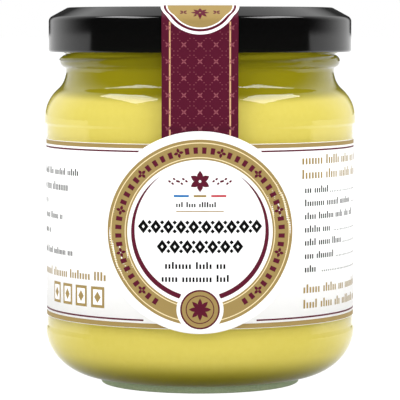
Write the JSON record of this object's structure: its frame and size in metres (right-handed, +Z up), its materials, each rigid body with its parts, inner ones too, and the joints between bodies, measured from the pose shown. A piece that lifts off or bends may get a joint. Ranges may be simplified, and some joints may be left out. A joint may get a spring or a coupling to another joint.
{
  "type": "mustard jar",
  "caption": "Round glass jar of mustard with a black twist-off lid, a paper wrap-round label, a round front medallion and a paper sealing strip over the lid.",
  "frame": {"origin": "middle of the base, on the surface that the jar stands on", "axes": "+Z up along the jar's axis, -Y towards the front with the medallion and the sealing strip, +X to the right as seen from the front"},
  "size_m": [0.0676, 0.0677, 0.0817],
  "materials": {
    "jar_glass": "clear flint glass, smooth moulded",
    "lid_black": "black gloss lacquer on tinplate",
    "mustard": "smooth yellow paste, seen through glass",
    "label_paper": "coated label paper, satin",
    "medallion_paper": "coated label paper, satin",
    "strip_paper": "burgundy coated label paper, satin"
  },
  "bodies": {
    "root": {"jar": "jar_glass", "lid": "lid_black", "mustard": "mustard", "label": "label_paper", "medallion": "medallion_paper", "seal_strip": "strip_paper"}
  },
  "joints": []
}
